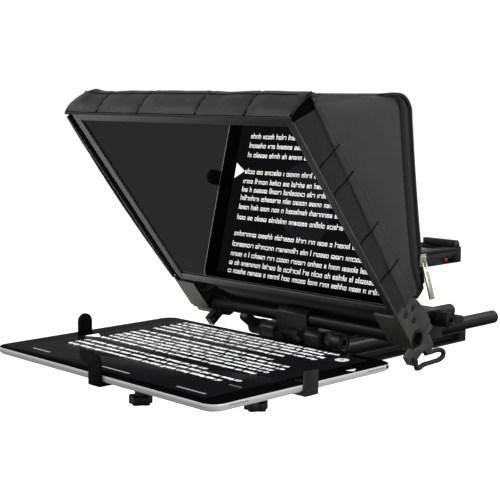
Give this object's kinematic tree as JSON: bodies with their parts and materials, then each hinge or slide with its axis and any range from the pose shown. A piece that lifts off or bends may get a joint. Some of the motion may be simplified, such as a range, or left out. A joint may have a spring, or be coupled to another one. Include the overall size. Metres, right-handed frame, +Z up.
{
  "type": "teleprompter",
  "caption": "Tablet teleprompter on two rods: a leaning beam-splitter glass with a fabric hood, a clamp tray for the tablet and a sliding camera platform.",
  "frame": {"origin": "middle of the base plate's underside, where a tripod plate bolts on", "axes": "+X to the reader's right, +Y from the reader towards the video camera along the rods, +Z up"},
  "size_m": [0.3277, 0.5488, 0.275],
  "materials": {
    "black_anodised": "satin",
    "grey_painted_steel": "satin",
    "black_plastic": "satin",
    "rubber_coat": "matte",
    "screw_steel": "satin",
    "nylon_cloth": "matte",
    "leatherette": "satin",
    "zip_metal": "polished",
    "beam_glass": "polished",
    "tablet_case": "satin",
    "tablet_screen": "polished",
    "red_plastic": "polished"
  },
  "bodies": {
    "base": {"base_plate": "black_anodised", "rod_right": "black_anodised", "rod_left": "black_anodised", "front_rod_jaw_right": "black_anodised", "front_rod_jaw_left": "black_anodised", "tube_block": "black_anodised", "cross_tube": "black_anodised"},
    "tube_block_lever": {"tube_block_lever": "black_plastic"},
    "front_lever_right": {"front_lever_right": "black_plastic"},
    "front_lever_left": {"front_lever_left": "black_plastic"},
    "hood": {"frame_rail_right": "black_anodised", "frame_rail_left": "black_anodised", "frame_rail_bottom": "black_anodised", "frame_rail_top": "black_anodised", "beam_splitter": "beam_glass", "bracket_right": "grey_painted_steel", "bracket_left": "grey_painted_steel", "clamp_cap_right": "grey_painted_steel", "clamp_cap_left": "grey_painted_steel", "bracket_screw_1_right": "screw_steel", "bracket_screw_1_left": "screw_steel", "bracket_screw_2_right": "screw_steel", "bracket_screw_2_left": "screw_steel", "bracket_screw_3_right": "screw_steel", "bracket_screw_3_left": "screw_steel", "hood_side_right": "leatherette", "hood_side_left": "leatherette", "hood_side_band_right": "nylon_cloth", "hood_side_band_left": "nylon_cloth", "hood_top_band": "leatherette", "hood_roof": "leatherette", "hood_rear": "nylon_cloth", "hood_floor": "nylon_cloth", "lens_cuff": "nylon_cloth", "zip_tape": "nylon_cloth"},
    "clamp_bail": {"clamp_bail": "rubber_coat"},
    "zip_slider": {"zip_slider": "zip_metal"},
    "zip_pull": {"zip_pull": "zip_metal"},
    "tray": {"tray_clamp": "black_anodised", "tray_plate": "black_anodised"},
    "right_arm": {"right_arm": "black_plastic"},
    "left_arm": {"left_arm": "black_plastic"},
    "front_arm": {"front_arm": "black_plastic"},
    "back_arm": {"back_arm": "black_plastic"},
    "right_knob": {"right_knob": "black_plastic"},
    "left_knob": {"left_knob": "black_plastic"},
    "front_knob": {"front_knob": "black_plastic"},
    "back_knob": {"back_knob": "black_plastic"},
    "tablet": {"tablet_shell": "tablet_case", "tablet_panel": "tablet_screen"},
    "home_button": {"home_button": "tablet_screen"},
    "camera_carriage": {"rear_rod_clamp": "black_anodised", "riser": "black_anodised", "platform": "black_anodised"},
    "rear_lever_right": {"rear_lever_right": "black_plastic"},
    "rear_lever_left": {"rear_lever_left": "black_plastic"},
    "sliding_plate": {"sliding_plate": "screw_steel"},
    "camera_screw": {"camera_screw": "screw_steel"},
    "lock_lever": {"lock_lever": "black_plastic"},
    "safety_button": {"safety_button": "red_plastic"}
  },
  "joints": [
    {"name": "hood_tilt", "type": "hinge", "parent": "base", "child": "hood", "pos_m": [0, -0.11568, 0.05387], "axis": [1, 0, 0], "range_deg": [-20, 15]},
    {"name": "tube_block_lever_turn", "type": "hinge", "parent": "base", "child": "tube_block_lever", "pos_m": [0.016, -0.13, 0.0357], "axis": [0, 1, 0], "range_deg": [-90, 90]},
    {"name": "front_lever_right_turn", "type": "hinge", "parent": "base", "child": "front_lever_right", "pos_m": [0.05, -0.11568, 0.0367], "axis": [1, 0, 0], "range_deg": [-70, 120]},
    {"name": "front_lever_left_turn", "type": "hinge", "parent": "base", "child": "front_lever_left", "pos_m": [-0.05, -0.11568, 0.0367], "axis": [1, 0, 0], "range_deg": [0, 180]},
    {"name": "clamp_bail_swing", "type": "hinge", "parent": "hood", "child": "clamp_bail", "pos_m": [0.1525, -0.12212, 0.0354], "axis": [1, 0, 0], "range_deg": [-40, 0]},
    {"name": "zip_slider_run", "type": "slide", "parent": "hood", "child": "zip_slider", "axis": [0, -0.1581, 0.9874], "range_m": [0, 0.115]},
    {"name": "zip_pull_swing", "type": "hinge", "parent": "zip_slider", "child": "zip_pull", "pos_m": [0.1539, -0.11482, 0.1244], "axis": [0, 1, 0], "range_deg": [-68, 17]},
    {"name": "tray_slide", "type": "slide", "parent": "base", "child": "tray", "axis": [0, 1, 0], "range_m": [-0.03, 0]},
    {"name": "right_arm_slide", "type": "slide", "parent": "tray", "child": "right_arm", "axis": [1, 0, 0], "range_m": [0, 0.03]},
    {"name": "left_arm_slide", "type": "slide", "parent": "tray", "child": "left_arm", "axis": [-1, 0, 0], "range_m": [0, 0.03]},
    {"name": "front_arm_slide", "type": "slide", "parent": "tray", "child": "front_arm", "axis": [0, -1, 0], "range_m": [0, 0.03]},
    {"name": "back_arm_slide", "type": "slide", "parent": "tray", "child": "back_arm", "axis": [0, 1, 0], "range_m": [0, 0.003]},
    {"name": "right_knob_turn", "type": "hinge", "parent": "tray", "child": "right_knob", "pos_m": [0.084, -0.256, 0.005], "axis": [0, 0, 1], "continuous": true},
    {"name": "left_knob_turn", "type": "hinge", "parent": "tray", "child": "left_knob", "pos_m": [-0.084, -0.256, 0.005], "axis": [0, 0, 1], "continuous": true},
    {"name": "front_knob_turn", "type": "hinge", "parent": "tray", "child": "front_knob", "pos_m": [0, -0.316, 0.005], "axis": [0, 0, 1], "continuous": true},
    {"name": "back_knob_turn", "type": "hinge", "parent": "tray", "child": "back_knob", "pos_m": [0, -0.192, 0.005], "axis": [0, 0, 1], "continuous": true},
    {"name": "tablet_lift", "type": "slide", "parent": "tray", "child": "tablet", "axis": [0, 0, 1], "range_m": [0, 0.02]},
    {"name": "home_button_press", "type": "slide", "parent": "tablet", "child": "home_button", "axis": [0, 0, 1], "range_m": [-0.0002, 0], "stiffness_N_per_m": 400, "springref_m": 0.0003},
    {"name": "carriage_slide", "type": "slide", "parent": "base", "child": "camera_carriage", "axis": [0, 1, 0], "range_m": [-0.04, 0.07]},
    {"name": "rear_lever_right_turn", "type": "hinge", "parent": "camera_carriage", "child": "rear_lever_right", "pos_m": [0.05, 0.056, 0.0367], "axis": [1, 0, 0], "range_deg": [-60, 120]},
    {"name": "rear_lever_left_turn", "type": "hinge", "parent": "camera_carriage", "child": "rear_lever_left", "pos_m": [-0.05, 0.056, 0.0367], "axis": [1, 0, 0], "range_deg": [-60, 120]},
    {"name": "sliding_plate_slide", "type": "slide", "parent": "camera_carriage", "child": "sliding_plate", "axis": [0, 1, 0], "range_m": [-0.01, 0.02]},
    {"name": "camera_screw_turn", "type": "hinge", "parent": "sliding_plate", "child": "camera_screw", "pos_m": [0, 0.042, 0.105], "axis": [0, 0, 1], "continuous": true},
    {"name": "lock_lever_turn", "type": "hinge", "parent": "camera_carriage", "child": "lock_lever", "pos_m": [0.031, 0.1, 0.11], "axis": [0, 0, 1], "range_deg": [-75, 0]},
    {"name": "safety_button_press", "type": "slide", "parent": "camera_carriage", "child": "safety_button", "axis": [1, 0, 0], "range_m": [-0.0015, 0], "stiffness_N_per_m": 400, "springref_m": 0.002}
  ]
}
